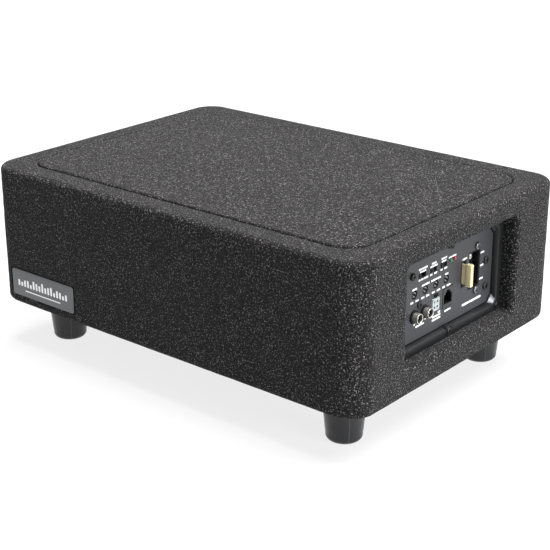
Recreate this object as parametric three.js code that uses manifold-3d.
// A powered car subwoofer: a carpeted wooden cabinet on four tall feet, a woofer that faces
// the floor, and an amplifier set into one end behind a control panel.
// Millimetres, +Z up. The origin is on the floor under the middle of the cabinet, the
// amplifier is at the +X end, and the badge is on the -Y side.
import * as THREE from "three";
import { mergeVertices } from "three/addons/utils/BufferGeometryUtils.js";
import Module from "manifold-3d";

// Clearance between two pieces that touch
const gap = 0.3;

// Cabinet, measured over its carpet
const cabinetLength = 400;
const cabinetDepth = 283.3;
const cabinetHeight = 124.3;
const cornerRadius = 22.6;
const edgeRadius = 5;
const boardThickness = 13;
const carpetThickness = 2.5;
const seamInset = 22.5;
const seamWidth = 0.8;

// Feet
const footHeight = 40;
const footTopRadius = 18.5;
const footBottomRadius = 15;
const footEdgeRadius = 4;
const footInset = 43.2;
const footBoreRadius = 8;
const footScrewRadius = 2.6;
const footWebThickness = 8;

// Badge on the long side, its middle measured from the cabinet's middle
const badgeLength = 78.5;
const badgeHeight = 24.5;
const badgeThickness = 1.4;
const badgeCornerRadius = 3;
const badgeMiddle = { x: -140.7, z: -41.3 };

// Woofer, its middle measured from the cabinet's middle
const wooferX = -52;
const flangeRadius = 104;
const cutOutRadius = 92;
const sheetThickness = 1.5;
const trimThickness = 1.7;
const trimInnerRadius = 92;
const trimClearance = 1.5;
const trimSides = 36;
const roundSides = 30;

// Amplifier, its middle measured from the cabinet's middle
const recessY = -1.8;
const recessZ = 1.6;
const recessDepth = 13;
const bezelLength = 154;
const bezelHeight = 83.2;
const bezelCornerRadius = 4;
const bezelFlange = 6.5;
const bezelFlangeThickness = 1.5;
const bezelDepth = 4.5;
const bezelWall = 1.1;
const plateThickness = 2;
const plateChamfer = 6.4;
const plateGap = 0.7;
const wallDraft = 1.7;
const chassisDepth = 43;
const sheetMetal = 1.5;
const circuitBoardThickness = 1.6;
const circuitBoardSetback = 9.4;

// Controls, on a grid of columns across the panel
const columnPitch = 14.75;
const firstColumn = -44.2;
const switchRow = 19.7;
const potRow = 6.2;
const socketRow = -12.2;
const potRadius = 3.4;
const sliderTravel = [6, 3.2, 3.2];
const switchWindows = [10.4, 9, 9];

const wasm = await Module();
wasm.setup();

// ---------------------------------------------------------------- solids

// A closed geometry as a manifold-3d solid that faces out.
function solid(geometry) {
  const bare = geometry.clone();
  bare.deleteAttribute("normal");
  bare.deleteAttribute("uv");
  const merged = mergeVertices(bare, 1e-4);
  const index = merged.index.array;
  const kept = [];
  for (let i = 0; i < index.length; i += 3) {
    const [a, b, c] = index.subarray(i, i + 3);
    if (a !== b && b !== c && c !== a) kept.push(a, b, c);
  }
  const vertProperties = new Float32Array(merged.attributes.position.array);
  const build = (corners) =>
    new wasm.Manifold(new wasm.Mesh({ numProp: 3, vertProperties, triVerts: new Uint32Array(corners) }));
  const made = build(kept);
  return made.volume() < 0 ? build(kept.reverse()) : made;
}

// A manifold-3d solid as a geometry with flat faces.
function geometryOf(body) {
  const mesh = body.getMesh();
  const geometry = new THREE.BufferGeometry();
  geometry.setAttribute("position", new THREE.BufferAttribute(mesh.vertProperties, 3));
  geometry.setIndex(new THREE.BufferAttribute(mesh.triVerts, 1));
  const flat = geometry.toNonIndexed();
  flat.computeVertexNormals();
  return flat;
}

const join = (...bodies) => bodies.reduce((whole, body) => whole.add(body));
const cut = (body, ...tools) => tools.reduce((left, tool) => left.subtract(tool), body);

// A box between two corners.
function block([x0, y0, z0], [x1, y1, z1]) {
  const box = new THREE.BoxGeometry(x1 - x0, y1 - y0, z1 - z0);
  return solid(box.translate((x0 + x1) / 2, (y0 + y1) / 2, (z0 + z1) / 2));
}

// A box centred on x, y, between two heights.
const post = (x, y, width, height, z0, z1) =>
  block([x - width / 2, y - height / 2, z0], [x + width / 2, y + height / 2, z1]);

// A round bar along Z.
function rod(x, y, radius, z0, z1, sides = 16) {
  const bar = new THREE.CylinderGeometry(radius, radius, z1 - z0, sides);
  return solid(bar.rotateX(Math.PI / 2).translate(x, y, (z0 + z1) / 2));
}

// A closed profile of [radius, z] points turned about Z.
function turned(profile, sides = roundSides) {
  const points = profile.map(([radius, z]) => new THREE.Vector2(radius, z));
  const onAxis = profile[0][0] === 0 && profile.at(-1)[0] === 0;
  if (!onAxis) points.push(points[0].clone());
  return solid(new THREE.LatheGeometry(points, sides).rotateX(Math.PI / 2));
}

// A rectangle with round corners, centred on x, y.
function roundedOutline(width, height, radius, x = 0, y = 0) {
  const right = width / 2 - radius;
  const top = height / 2 - radius;
  const outline = new THREE.Shape();
  outline.absarc(x + right, y + top, radius, 0, Math.PI / 2);
  outline.absarc(x - right, y + top, radius, Math.PI / 2, Math.PI);
  outline.absarc(x - right, y - top, radius, Math.PI, Math.PI * 1.5);
  outline.absarc(x + right, y - top, radius, Math.PI * 1.5, Math.PI * 2);
  return outline;
}

// A rectangle with its corners cut off.
function chamferedOutline(width, height, chamfer) {
  const right = width / 2;
  const top = height / 2;
  const corners = [
    [right, top - chamfer],
    [right - chamfer, top],
    [chamfer - right, top],
    [-right, top - chamfer],
    [-right, chamfer - top],
    [chamfer - right, -top],
    [right - chamfer, -top],
    [right, chamfer - top],
  ];
  return new THREE.Shape(corners.map(([x, y]) => new THREE.Vector2(x, y)));
}

// An outline pushed up from z0 to z1. A positive edge rounds both ends off inside that
// height, and a negative one flares them out like a trumpet.
function pushed(outline, z0, z1, edge = 0, curveSegments = 4, bevelSegments = 2) {
  const depth = Math.abs(edge);
  const geometry = new THREE.ExtrudeGeometry(outline, {
    depth: z1 - z0 - 2 * depth,
    curveSegments,
    bevelEnabled: depth > 0,
    bevelThickness: depth,
    bevelSize: edge,
    bevelOffset: edge > 0 ? -edge : 0,
    bevelSegments,
  });
  return solid(geometry.translate(0, 0, z0 + depth));
}

// An outline that grows evenly by "growth" on each side from z0 to z1, and then runs on
// straight for "beyond".
function widening(outline, growth, z0, z1, beyond) {
  const height = z1 - z0;
  const geometry = new THREE.ExtrudeGeometry(outline, {
    depth: beyond,
    curveSegments: 4,
    bevelEnabled: true,
    bevelThickness: height,
    bevelSize: growth,
    bevelSegments: 1,
  });
  return solid(geometry.translate(0, 0, z1));
}

// ------------------------------------------------------------- materials

function material(color, roughness, metalness = 0) {
  return new THREE.MeshStandardMaterial({ color, roughness, metalness });
}

const materials = {
  board: material(0xa98a63, 0.85),
  carpet: material(0x3f3f42, 1),
  rubber: material(0x161617, 0.75),
  badge: material(0x55565a, 0.4, 0.8),
  steel: material(0x2b2c2e, 0.5, 0.6),
  bare: material(0xa9abae, 0.35, 0.9),
  ferrite: material(0x3a3a3c, 0.7),
  paper: material(0x222224, 0.9),
  cloth: material(0xb59a5c, 0.95),
  copper: material(0xb06a3b, 0.4, 0.9),
  bezel: material(0x55565a, 0.5, 0.3),
  panel: material(0x696a70, 0.45, 0.5),
  foam: material(0x1d1d1e, 1),
  laminate: material(0x245a39, 0.6),
  aluminium: material(0xb8babc, 0.4, 0.9),
  black: material(0x121214, 0.5),
  grey: material(0x77787c, 0.5),
  white: material(0xe9eaec, 0.4),
  ivory: material(0xe6d6a6, 0.35),
  green: material(0x2f9b55, 0.25),
  red: material(0xb8283c, 0.25),
  nickel: material(0xd9d9d6, 0.2, 1),
};

const model = new THREE.Group();

// Adds a named piece to a group.
function add(group, name, body, finish) {
  const mesh = new THREE.Mesh(geometryOf(body), finish);
  mesh.name = name;
  group.add(mesh);
}

// --------------------------------------------------------------- cabinet

const cabinetBottom = footHeight;
const cabinetTop = footHeight + cabinetHeight;
const cabinetMiddle = footHeight + cabinetHeight / 2;
const skin = carpetThickness + gap;
const woodEnd = cabinetLength / 2 - skin;
const woodSide = cabinetDepth / 2 - skin;
const woodBottom = cabinetBottom + skin;
const woodTop = cabinetTop - skin;
const insideBottom = woodBottom + boardThickness;
const insideTop = woodTop - boardThickness;

// The carpet's outside, and the wooden box's outside
const carpetOutside = pushed(
  roundedOutline(cabinetLength, cabinetDepth, cornerRadius),
  cabinetBottom,
  cabinetTop,
  edgeRadius,
);
const woodOutline = (clearance) =>
  roundedOutline(
    2 * (woodEnd + clearance),
    2 * (woodSide + clearance),
    cornerRadius - skin + clearance,
  );
const woodOutside = pushed(woodOutline(0), woodBottom, woodTop);
const carpetInside = pushed(woodOutline(gap), woodBottom - gap, woodTop + gap);

// The recess that the amplifier sits in, with room for the bezel
const recessMiddleZ = cabinetMiddle + recessZ;
const recessLength = bezelLength + 2 * gap;
const recessHeight = bezelHeight + 2 * gap;
const bezelFront = cabinetLength / 2 - recessDepth;
const panelFront = bezelFront - bezelDepth;

// Turns a body made in the panel's own frame into the cabinet's frame: the panel's x runs
// along +Y, its y runs up, and its z comes out along +X from the face of the plate.
const panelFrame = new THREE.Matrix4().makeBasis(
  new THREE.Vector3(0, 1, 0),
  new THREE.Vector3(0, 0, 1),
  new THREE.Vector3(1, 0, 0),
);
panelFrame.setPosition(panelFront, recessY, recessMiddleZ);
const inCabinet = (body) => body.transform(panelFrame.elements);

const windowAround = (growth, z0, z1, edge = 0) =>
  inCabinet(
    pushed(
      roundedOutline(
        recessLength + 2 * growth,
        recessHeight + 2 * growth,
        bezelCornerRadius + growth,
      ),
      z0,
      z1,
      edge,
      2,
    ),
  );
const outsideOf = cabinetLength / 2 - panelFront;
const insideCabinet = -40;
const woodWindow = join(
  windowAround(edgeRadius, insideCabinet, outsideOf - skin, skin - edgeRadius),
  windowAround(edgeRadius, outsideOf - skin - 0.1, outsideOf + 1),
);

// Boards: the top and bottom cover the four sides, and the front and rear cover the ends.
const boardBetween = (low, high) => woodOutside.intersect(block(low, high));
const sideInner = woodSide - boardThickness;
const endInner = woodEnd - boardThickness;
const sidesBottom = insideBottom + gap;
const sidesTop = insideTop - gap;

const wooferHole = rod(wooferX, 0, cutOutRadius, woodBottom - 1, insideBottom + 1, trimSides);
const bottomBoard = boardBetween(
  [-woodEnd, -woodSide, woodBottom],
  [woodEnd, woodSide, insideBottom],
);
add(
  model,
  "top_board",
  cut(
    boardBetween([-woodEnd, -woodSide, insideTop], [woodEnd, woodSide, woodTop]),
    woodWindow.intersect(block([endInner, -woodSide, 0], [cabinetLength, woodSide, cabinetTop])),
  ),
  materials.board,
);
add(model, "bottom_board", cut(bottomBoard, wooferHole), materials.board);
add(
  model,
  "front_board",
  boardBetween([-woodEnd, -woodSide, sidesBottom], [woodEnd, -sideInner, sidesTop]),
  materials.board,
);
add(
  model,
  "rear_board",
  boardBetween([-woodEnd, sideInner, sidesBottom], [woodEnd, woodSide, sidesTop]),
  materials.board,
);
add(
  model,
  "left_board",
  boardBetween(
    [-woodEnd, gap - sideInner, sidesBottom],
    [-endInner, sideInner - gap, sidesTop],
  ),
  materials.board,
);
const rightBoard = boardBetween(
  [endInner, gap - sideInner, sidesBottom],
  [woodEnd, sideInner - gap, sidesTop],
);
add(
  model,
  "right_board",
  cut(rightBoard, woodWindow),
  materials.board,
);

// A wooden frame behind the end board, from side to side, takes the bezel's screws.
const bezelBodyInset = bezelFlange + wallDraft - bezelWall;
const bezelBodyLength = bezelLength - 2 * bezelBodyInset;
const bezelBodyHeight = bezelHeight - 2 * bezelBodyInset;
const frameThickness = 12;
const frameClearance = 1.5;
const frameFront = endInner - gap;
const frameWindow = inCabinet(
  pushed(
    chamferedOutline(
      bezelBodyLength + 2 * frameClearance,
      bezelBodyHeight + 2 * frameClearance,
      plateChamfer,
    ),
    -frameThickness - 10,
    10,
  ),
);
add(
  model,
  "amp_mounting_frame",
  cut(
    block(
      [frameFront - frameThickness, gap - sideInner, sidesBottom],
      [frameFront, sideInner - gap, sidesTop],
    ),
    frameWindow,
  ),
  materials.board,
);

// Carpet: one strip wraps the sides and folds over the edges as far as the seam, and lines
// the recess. A flat piece is laid in on the top and another underneath.
// Underneath, the seam runs midway between the trim ring's hole and the cabinet's side.
const baseSeamInset = (cabinetDepth / 2 - flangeRadius - trimClearance) / 2;
const seamOutline = (inset) =>
  roundedOutline(cabinetLength - 2 * inset, cabinetDepth - 2 * inset, cornerRadius);
const recessLining = windowAround(
  edgeRadius,
  insideCabinet,
  outsideOf - carpetThickness,
  carpetThickness - edgeRadius,
).intersect(block([endInner, -cabinetDepth, 0], [cabinetLength, cabinetDepth, cabinetTop]));
const recessMouth = windowAround(edgeRadius, insideCabinet, outsideOf, -edgeRadius);
const badgeX = badgeMiddle.x;
const badgeZ = cabinetMiddle + badgeMiddle.z;
const badgePocket = block(
  [badgeX - badgeLength / 2 - gap, -cabinetDepth, badgeZ - badgeHeight / 2 - gap],
  [badgeX + badgeLength / 2 + gap, badgeThickness + gap - cabinetDepth / 2, badgeZ + badgeHeight / 2 + gap],
);
const wrap = cut(
  join(cut(carpetOutside, carpetInside), recessLining),
  recessMouth,
  pushed(seamOutline(seamInset), woodTop, cabinetTop + 1),
  pushed(seamOutline(baseSeamInset), cabinetBottom - 1, woodBottom),
  badgePocket,
);
add(model, "carpet_wrap", wrap, materials.carpet);
add(
  model,
  "carpet_top",
  pushed(seamOutline(seamInset + seamWidth), cabinetTop - carpetThickness, cabinetTop),
  materials.carpet,
);
const trimHoleRadius = flangeRadius + trimClearance;
const trimHole = rod(wooferX, 0, trimHoleRadius, cabinetBottom - 1, woodBottom + 1, trimSides);
add(
  model,
  "carpet_bottom",
  cut(
    pushed(seamOutline(baseSeamInset + seamWidth), cabinetBottom, cabinetBottom + carpetThickness),
    trimHole,
  ),
  materials.carpet,
);

// Badge: a small metal plate let into the carpet, with its corner rounded
const badge = pushed(
  roundedOutline(badgeLength, badgeHeight, badgeCornerRadius),
  0,
  badgeThickness,
);
const badgeFrame = new THREE.Matrix4().makeRotationX(Math.PI / 2);
badgeFrame.setPosition(badgeX, badgeThickness - cabinetDepth / 2, badgeZ);
add(model, "badge_plate", badge.transform(badgeFrame.elements), materials.badge);

// Feet: tapered, with a bore from below for the screw
const footTop = footHeight - gap;
const footProfile = [
  [footScrewRadius, footTop],
  [footTopRadius, footTop],
  [footBottomRadius, footEdgeRadius],
  [footBottomRadius - footEdgeRadius * 0.3, footEdgeRadius * 0.3],
  [footBottomRadius - footEdgeRadius, 0],
  [footBoreRadius, 0],
  [footBoreRadius, footTop - footWebThickness],
  [footScrewRadius, footTop - footWebThickness],
];
const footX = cabinetLength / 2 - footInset;
const footY = cabinetDepth / 2 - footInset;
for (const [end, x] of [["left", -footX], ["right", footX]]) {
  for (const [side, y] of [["front", -footY], ["rear", footY]]) {
    const foot = new THREE.Group();
    foot.position.set(x, y, 0);
    model.add(foot);
    add(foot, `foot_${side}_${end}`, turned(footProfile, 20), materials.rubber);
  }
}

// ---------------------------------------------------------------- woofer
// Heights are from the underside of the basket's flange, and rise into the cabinet.

const woofer = new THREE.Group();
woofer.position.set(wooferX, 0, woodBottom - gap - sheetThickness);
model.add(woofer);

const lipRadius = 86;
const coneRadius = 74.5;
const neckRadius = 20.5;
const neckHeight = 36;
const shelfHeight = 40.3;
const seatHeight = 55;
const polePieceRadius = 18.6;
const magnetRadius = 50;

const basketProfile = [
  [flangeRadius, 0],
  [lipRadius, 0],
  [lipRadius - 2, 3],
  [62, shelfHeight],
  [53, shelfHeight],
  [50, seatHeight],
  [27, seatHeight],
  [27, seatHeight + sheetThickness],
  [51.5, seatHeight + sheetThickness],
  [54, shelfHeight + sheetThickness],
  [63, shelfHeight + sheetThickness],
  [lipRadius - 0.4, 3.4],
  [lipRadius + 2, sheetThickness],
  [flangeRadius, sheetThickness],
];
const spokes = 6;
let basket = turned(basketProfile);
for (let i = 0; i < spokes; i += 1) {
  const opening = block([58, -19, 9], [96, 19, shelfHeight - 5]);
  basket = cut(basket, opening.rotate([0, 0, ((i + 0.5) * 360) / spokes]));
}
add(woofer, "woofer_basket", basket, materials.steel);
add(
  woofer,
  "woofer_trim_ring",
  turned([
    [trimInnerRadius, -gap],
    [trimInnerRadius, -gap - trimThickness],
    [flangeRadius, -gap - trimThickness],
    [flangeRadius, -gap],
  ]),
  materials.rubber,
);

// Surround: a half roll that hangs below its two lips
const surroundThickness = 0.8;
const rollOuter = lipRadius;
const rollInner = coneRadius - 0.5;
const rollMiddle = (rollOuter + rollInner) / 2;
const rollRadius = (rollOuter - rollInner) / 2;
const rollSteps = 5;
const roll = (radius) =>
  Array.from({ length: rollSteps + 1 }, (_, i) => {
    const angle = (Math.PI * i) / rollSteps;
    return [rollMiddle + radius * Math.cos(angle), -radius * Math.sin(angle)];
  });
const lipTop = -gap;
const lipBottom = lipTop - surroundThickness;
const surroundProfile = [
  [trimInnerRadius - gap, lipTop],
  [trimInnerRadius - gap, lipBottom],
  ...roll(rollRadius).map(([radius, z]) => [radius, z + lipBottom]),
  [rollInner - 4, lipBottom],
  [rollInner - 4, lipTop],
  ...roll(rollRadius - surroundThickness)
    .reverse()
    .map(([radius, z]) => [radius, z + lipTop]),
];
add(woofer, "surround", turned(surroundProfile), materials.rubber);

const coneThickness = 1.2;
add(
  woofer,
  "cone",
  turned([
    [coneRadius, 0],
    [50, 14],
    [neckRadius, neckHeight],
    [neckRadius, neckHeight + 1.6],
    [50, 14 + coneThickness + 0.3],
    [coneRadius, coneThickness],
  ]),
  materials.paper,
);

const capRadius = 30;
const capRim = 27.8;
const capRise = 9.5;
const capSteps = 3;
const cap = (lift) =>
  Array.from({ length: capSteps + 1 }, (_, i) => {
    const share = i / capSteps;
    return [capRadius * share, capRim - capRise * (1 - share * share) + lift];
  });
add(woofer, "dust_cap", turned([...cap(0), ...cap(1).reverse()]), materials.paper);

add(
  woofer,
  "voice_coil",
  turned([
    [neckRadius - gap, neckHeight - 2],
    [neckRadius - gap, 52],
    [21.2, 52],
    [21.2, 68],
    [polePieceRadius + 0.8, 68],
    [polePieceRadius + 0.8, neckHeight - 2],
  ]),
  materials.copper,
);

// Spider: a corrugated cloth disc that centres the coil
const spiderInner = neckRadius;
const spiderOuter = 60;
const spiderHeight = shelfHeight - gap - 0.8;
const spiderWaves = 3.5;
const spiderSteps = 12;
const ripple = (lift) =>
  Array.from({ length: spiderSteps + 1 }, (_, i) => {
    const share = i / spiderSteps;
    const flatRim = share > 0.85 ? 0 : 1;
    const wave = 1.4 * flatRim * Math.sin(share * spiderWaves * 2 * Math.PI);
    return [spiderInner + (spiderOuter - spiderInner) * share, spiderHeight + wave + lift];
  });
add(woofer, "spider", turned([...ripple(0), ...ripple(0.8).reverse()], 24), materials.cloth);

const topPlateBottom = seatHeight + sheetThickness + gap;
const topPlateTop = topPlateBottom + 6;
const magnetTop = topPlateTop + gap + 16;
const yokeTop = magnetTop + gap + 6;
const ring = (inner, outer, z0, z1) =>
  turned([
    [inner, z0],
    [outer, z0],
    [outer, z1],
    [inner, z1],
  ]);
add(woofer, "top_plate", ring(22, magnetRadius - 2, topPlateBottom, topPlateTop), materials.bare);
add(woofer, "magnet", ring(24, magnetRadius, topPlateTop + gap, magnetTop), materials.ferrite);
add(
  woofer,
  "yoke",
  turned([
    [6, topPlateBottom],
    [polePieceRadius, topPlateBottom],
    [polePieceRadius, magnetTop + gap],
    [magnetRadius - 2, magnetTop + gap],
    [magnetRadius - 2, yokeTop],
    [6, yokeTop],
  ]),
  materials.bare,
);
const tagInner = 77;
const tagOuter = 84;
const tagHeight = 24;
add(
  woofer,
  "woofer_terminal",
  block([tagInner, -8, tagHeight - 4], [tagOuter, 8, tagHeight + 4]),
  materials.black,
);

// ------------------------------------------------------------- amplifier
// The panel's frame: x across the panel, y up, z out of the plate's face.

const panel = new THREE.Group();
panel.applyMatrix4(panelFrame);
model.add(panel);

const plateLength = bezelLength - 2 * (bezelFlange + wallDraft + plateGap);
const plateHeight = bezelHeight - 2 * (bezelFlange + wallDraft + plateGap);
const pocketLength = plateLength + 2 * plateGap;
const pocketHeight = plateHeight + 2 * plateGap;
const lipWidth = 4;
const flangeBack = bezelDepth - bezelFlangeThickness;
const plateBack = -plateThickness;
const lipFront = plateBack - gap;
const lipBack = lipFront - 2;
const pocketChamfer = plateChamfer + 0.6 * plateGap;
const screwColumn = bezelLength / 2 - 4.7;
const screwLine = bezelHeight / 2 - 4.5;
const bezelScrews = [-screwColumn, 0, screwColumn].flatMap((x) => [
  [x, -screwLine],
  [x, screwLine],
]);

const bezelBody = join(
  pushed(roundedOutline(bezelLength, bezelHeight, bezelCornerRadius), flangeBack, bezelDepth),
  widening(
    chamferedOutline(bezelBodyLength, bezelBodyHeight, pocketChamfer),
    wallDraft * (flangeBack / bezelDepth),
    0,
    flangeBack,
    0.2,
  ).trimByPlane([0, 0, -1], -flangeBack - 0.1),
  pushed(chamferedOutline(bezelBodyLength, bezelBodyHeight, pocketChamfer), lipBack, 0.1),
);
add(
  panel,
  "amp_bezel",
  cut(
    bezelBody,
    widening(
      chamferedOutline(pocketLength, pocketHeight, pocketChamfer),
      wallDraft,
      0,
      bezelDepth,
      1,
    ),
    pushed(chamferedOutline(pocketLength, pocketHeight, pocketChamfer), lipFront, 0.1),
    pushed(
      chamferedOutline(pocketLength - 2 * lipWidth, pocketHeight - 2 * lipWidth, 1),
      lipBack - 1,
      0,
    ),
    ...bezelScrews.map(([x, y]) => rod(x, y, 1.9, flangeBack - 1, bezelDepth + 1, 12)),
  ),
  materials.bezel,
);
const gasketClearance = 2.5;
const gasketBack = frameFront + gap - panelFront;
add(
  panel,
  "bezel_gasket",
  cut(
    pushed(
      roundedOutline(bezelLength - 2, bezelHeight - 2, bezelCornerRadius),
      gasketBack,
      flangeBack - gap,
    ),
    pushed(
      chamferedOutline(
        bezelBodyLength + 2 * gasketClearance,
        bezelBodyHeight + 2 * gasketClearance,
        pocketChamfer,
      ),
      gasketBack - 1,
      flangeBack,
    ),
  ),
  materials.foam,
);

// Where each control sits on the panel
const column = (i) => firstColumn + i * columnPitch;
const switchColumns = [-34.3, -19, -4.7];
const switchNames = ["phase_switch", "filter_switch", "input_switch"];
const potNames = ["gain_control", "crossover_control", "subsonic_control", "bass_control"];
const lights = [
  ["power_light", 4.6, materials.green],
  ["protect_light", 9.9, materials.red],
];
const lightRow = 21.2;
const speakerSocket = { x: column(2), y: -10.8, width: 9.6, height: 10.6 };
const remoteSocket = { x: 3.1, y: -9.8, width: 14, height: 16.4 };
const terminals = { x: 40.9, y: 2.5, width: 16, height: 31.6, pitch: 11.2, poles: 3 };
const fusePlace = { x: 25.3, y: 2.9 };
const fuseThickness = 3.8;
const fuseWidth = 19.1;
const fuseProud = 8.2;
const holderWall = 1.2;
const panelScrews = [
  [-48.2, 22.3],
  [-36.8, -4.2],
  [58.7, 5.6],
  [58.7, -17.4],
  [44.3, 21.8],
  [44.3, -16.4],
];
const windowHeight = 4.2;
const socketClearance = 0.4;
const rcaNeckRadius = 4.4;
const lightRadius = 1.5;
const holderWidth = fuseThickness + 2 * (holderWall + gap);
const holderHeight = fuseWidth + 2 * (holderWall + gap);

const through = (x, y, width, height) => post(x, y, width, height, -plateThickness - 1, 1);
const drilled = (x, y, radius, sides = 16) => rod(x, y, radius, -plateThickness - 1, 1, sides);
const opening = ({ x, y, width, height }) =>
  through(x, y, width + 2 * socketClearance, height + 2 * socketClearance);
add(
  panel,
  "amp_plate",
  cut(
    pushed(chamferedOutline(plateLength, plateHeight, plateChamfer), plateBack, 0),
    ...switchColumns.map((x, i) => through(x, switchRow, switchWindows[i], windowHeight)),
    ...potNames.map((_, i) => drilled(column(i), potRow, potRadius + 0.3, 20)),
    ...[0, 1].map((i) => drilled(column(i), socketRow, rcaNeckRadius + gap, 20)),
    ...lights.map(([, x]) => drilled(x, lightRow, lightRadius + gap, 12)),
    ...panelScrews.map(([x, y]) => drilled(x, y, 1.7, 12)),
    opening(speakerSocket),
    opening(remoteSocket),
    opening(terminals),
    through(fusePlace.x, fusePlace.y, holderWidth + gap, holderHeight + gap),
  ),
  materials.panel,
);

// Chassis: a folded steel box that closes the amplifier off from the air in the cabinet
const chassisLength = pocketLength - 2 * lipWidth - 2;
const chassisHeight = pocketHeight - 2 * lipWidth - 2;
const chassisFront = plateBack - gap;
const chassisBack = chassisFront - chassisDepth;
const leadExit = { x: -20, y: -8 };
const leadRadius = 2.6;
const glandRadius = 5;
const boxOf = (wall, z0, z1) =>
  post(0, 0, chassisLength - 2 * wall, chassisHeight - 2 * wall, z0, z1);
add(
  panel,
  "amp_chassis",
  cut(
    boxOf(0, chassisBack, chassisFront),
    boxOf(sheetMetal, chassisBack + sheetMetal, chassisFront + 1),
    rod(leadExit.x, leadExit.y, glandRadius + gap, chassisBack - 1, chassisBack + 3),
  ),
  materials.steel,
);
const boardFront = plateBack - circuitBoardSetback;
const boardBack = boardFront - circuitBoardThickness;
add(
  panel,
  "circuit_board",
  boxOf(sheetMetal + 1, boardBack, boardFront),
  materials.laminate,
);

// Heat sink: a plate with fins, standing behind the circuit board
const sink = { x: 22, length: 64, height: 40, base: 4, depth: 24, fins: 9, fin: 1.8 };
const sinkFront = boardBack - 1;
const sinkFins = Array.from({ length: sink.fins }, (_, i) => {
  const y = ((i / (sink.fins - 1)) * 2 - 1) * ((sink.height - sink.fin) / 2);
  return post(sink.x, y, sink.length, sink.fin, sinkFront - sink.depth, sinkFront - sink.base + 0.5);
});
add(
  panel,
  "heat_sink",
  join(
    post(sink.x, 0, sink.length, sink.height, sinkFront - sink.base, sinkFront),
    ...sinkFins,
  ),
  materials.aluminium,
);

// Supply parts on the back of the circuit board
const supplyFront = boardBack - gap;
add(
  panel,
  "storage_capacitor_1",
  rod(-21, 12, 7.5, supplyFront - 24, supplyFront),
  materials.black,
);
add(
  panel,
  "storage_capacitor_2",
  rod(-38, 12, 7.5, supplyFront - 24, supplyFront),
  materials.black,
);
const coilProfile = [
  [5, supplyFront - 11],
  [12, supplyFront - 11],
  [12, supplyFront],
  [5, supplyFront],
];
add(
  panel,
  "power_inductor",
  turned(coilProfile, 20).translate([-45, -11, 0]),
  materials.copper,
);

// Slide switches: a body soldered to the circuit board, and a slider that is set to its
// left stop
const bodyFront = plateBack - gap;
const bodyBack = boardFront + gap;
const sliderWidth = 3;
const sliderHeight = windowHeight - 0.8;
const channelFloor = -7.4;
switchColumns.forEach((x, i) => {
  const channelLength = switchWindows[i];
  const body = post(x, switchRow, channelLength + 2.4, windowHeight + 2.4, bodyBack, bodyFront);
  const channel = post(x, switchRow, channelLength, windowHeight, channelFloor, bodyFront + 1);
  add(panel, `${switchNames[i]}_body`, cut(body, channel), materials.black);
  const knobX = x - sliderTravel[i] / 2;
  add(
    panel,
    `${switchNames[i]}_slider`,
    post(knobX, switchRow, sliderWidth, sliderHeight, channelFloor + gap, 0.6),
    materials.grey,
  );
});

// Rotary controls: a square body and a slotted rotor, flush with the panel
const slotAngle = -31;
const slotWidth = 1.1;
const potBody = potRadius * 2 + 3;
potNames.forEach((name, i) => {
  const x = column(i);
  const body = post(x, potRow, potBody, potBody, bodyBack, bodyFront);
  const bore = rod(x, potRow, potRadius + gap, -9, bodyFront + 1, 20);
  add(panel, `${name}_body`, cut(body, bore), materials.black);
  const slot = post(0, 0, 2 * potRadius + 2, slotWidth, -1.6, 1);
  const rotor = cut(rod(0, 0, potRadius, -8.7, -0.2, 20), slot.rotate([0, 0, slotAngle]));
  add(panel, `${name}_rotor`, rotor.translate([x, potRow, 0]), materials.grey);
});

// Indicator lights
const lightProfile = [
  [0, bodyBack],
  [lightRadius, bodyBack],
  [lightRadius, 0.7],
  [lightRadius * 0.7, 1.7],
  [0, 2.1],
];
for (const [name, x, finish] of lights) {
  add(panel, name, turned(lightProfile, 12).translate([x, lightRow, 0]), finish);
}

// Line inputs: an insulating flange on the plate, and a shell for the plug to slide over
const rcaProfile = [
  [1.7, -6],
  [1.7, 6.2],
  [4.1, 6.2],
  [4.1, 1.5],
  [5.5, 1.5],
  [5.5, gap],
  [rcaNeckRadius, gap],
  [rcaNeckRadius, bodyBack],
  [0, bodyBack],
  [0, -6],
];
["left", "right"].forEach((side, i) => {
  const jack = turned([...rcaProfile.slice(-1), ...rcaProfile.slice(0, -1)], 20);
  add(panel, `line_input_${side}`, jack.translate([column(i), socketRow, 0]), materials.nickel);
});

// Speaker-level input: a white housing with four chambers
const { x: speakerX, y: speakerY } = speakerSocket;
const chambers = [-1, 1].flatMap((across) =>
  [-1, 1].map((up) => post(speakerX + across * 2.2, speakerY + up * 2.45, 3.2, 3.7, -6, 3)),
);
add(
  panel,
  "speaker_input_socket",
  cut(
    post(speakerX, speakerY, speakerSocket.width, speakerSocket.height, bodyBack, 1),
    ...chambers,
  ),
  materials.white,
);

// Remote control socket: a metal shell around a modular jack with a stepped latch slot
const { x: remoteX, y: remoteY } = remoteSocket;
const jackFloor = -8.5;
add(
  panel,
  "remote_socket",
  cut(
    post(remoteX, remoteY, remoteSocket.width, remoteSocket.height, bodyBack, 0.3),
    post(remoteX, remoteY - 1.4, 10.6, 8.4, jackFloor, 1),
    post(remoteX, remoteY + 3.6, 6.6, 1.8, jackFloor, 1),
    post(remoteX, remoteY + 5.2, 3.6, 1.6, jackFloor, 1),
  ),
  materials.bare,
);

// Supply terminals: a black block with a chamber for each pole
const poleChambers = Array.from({ length: terminals.poles }, (_, i) => {
  const y = terminals.y + (i - (terminals.poles - 1) / 2) * terminals.pitch;
  return post(terminals.x, y, terminals.width - 2, terminals.pitch - 1.6, -6, 1);
});
add(
  panel,
  "supply_terminals",
  cut(
    post(terminals.x, terminals.y, terminals.width, terminals.height, bodyBack, -0.3),
    ...poleChambers,
  ),
  materials.black,
);

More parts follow.
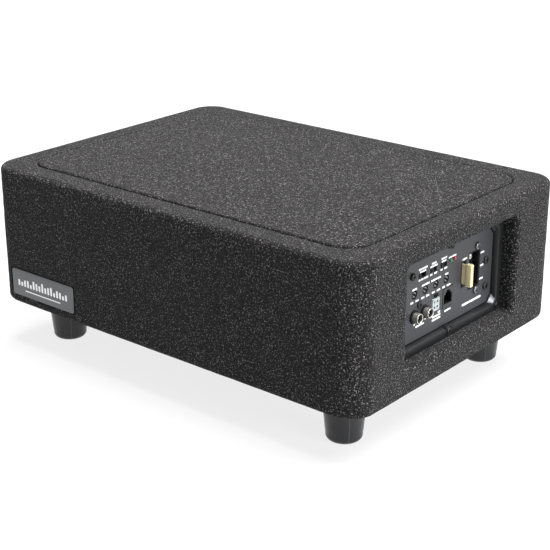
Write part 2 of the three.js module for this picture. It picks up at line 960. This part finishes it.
// Blade fuse in its holder, which it pulls straight out of
const fuseFoot = -3.2;
const bladeWidth = 5.2;
const bladeThickness = 0.8;
const bladeSpacing = 6.6;
const bladeEnd = -10.2;
const { x: fuseX, y: fuseY } = fusePlace;
const blades = (clearance, end) =>
  [-1, 1].map((side) =>
    post(
      fuseX,
      fuseY + side * bladeSpacing,
      bladeThickness + 2 * clearance,
      bladeWidth + 2 * clearance,
      end,
      fuseFoot + 1,
    ),
  );
add(
  panel,
  "fuse_holder",
  cut(
    post(fuseX, fuseY, holderWidth, holderHeight, bodyBack, -0.4),
    post(fuseX, fuseY, fuseThickness + 2 * gap, fuseWidth + 2 * gap, fuseFoot - gap, 1),
    ...blades(gap, bladeEnd - gap),
  ),
  materials.black,
);
add(
  panel,
  "fuse",
  join(
    post(fuseX, fuseY, fuseThickness - 0.8, fuseWidth - 1.8, fuseFoot, 3.5),
    post(fuseX, fuseY, fuseThickness, fuseWidth, 3, fuseProud),
    ...blades(0, bladeEnd),
  ),
  materials.ivory,
);

// Gland in the back of the chassis, and the lead from it to the woofer's terminals
const glandProfile = [
  [leadRadius + gap, chassisBack - 6],
  [glandRadius - 1, chassisBack - 6],
  [glandRadius + 2, chassisBack - gap],
  [glandRadius, chassisBack - gap],
  [glandRadius, chassisBack + sheetMetal + 1],
  [leadRadius + gap, chassisBack + sheetMetal + 1],
];
add(
  panel,
  "lead_gland",
  turned(glandProfile, 16).translate([leadExit.x, leadExit.y, 0]),
  materials.rubber,
);
const leadStart = new THREE.Vector3(leadExit.x, leadExit.y, chassisBack + 2);
leadStart.applyMatrix4(panelFrame);
const leadEnd = new THREE.Vector3(wooferX + tagOuter + gap, 0, woofer.position.z + tagHeight);
const leadRoute = new THREE.CatmullRomCurve3([
  leadStart,
  new THREE.Vector3(leadStart.x - 9, leadStart.y, leadStart.z),
  new THREE.Vector3(leadStart.x - 18, leadStart.y, leadStart.z),
  new THREE.Vector3(leadStart.x - 34, leadStart.y + 4, leadStart.z - 10),
  new THREE.Vector3(leadStart.x - 46, leadStart.y + 10, insideBottom + 14),
  new THREE.Vector3(leadEnd.x + 46, leadEnd.y - 4, insideBottom + 5),
  new THREE.Vector3(leadEnd.x + 26, leadEnd.y, insideBottom + 5),
  new THREE.Vector3(leadEnd.x + 10, leadEnd.y, leadEnd.z - 1),
  leadEnd,
]);
const leadSection = new THREE.Shape().absarc(0, 0, leadRadius, 0, Math.PI * 2);
add(
  model,
  "speaker_lead",
  solid(
    new THREE.ExtrudeGeometry(leadSection, {
      steps: 36,
      curveSegments: 4,
      extrudePath: leadRoute,
    }),
  ),
  materials.black,
);

export default model;
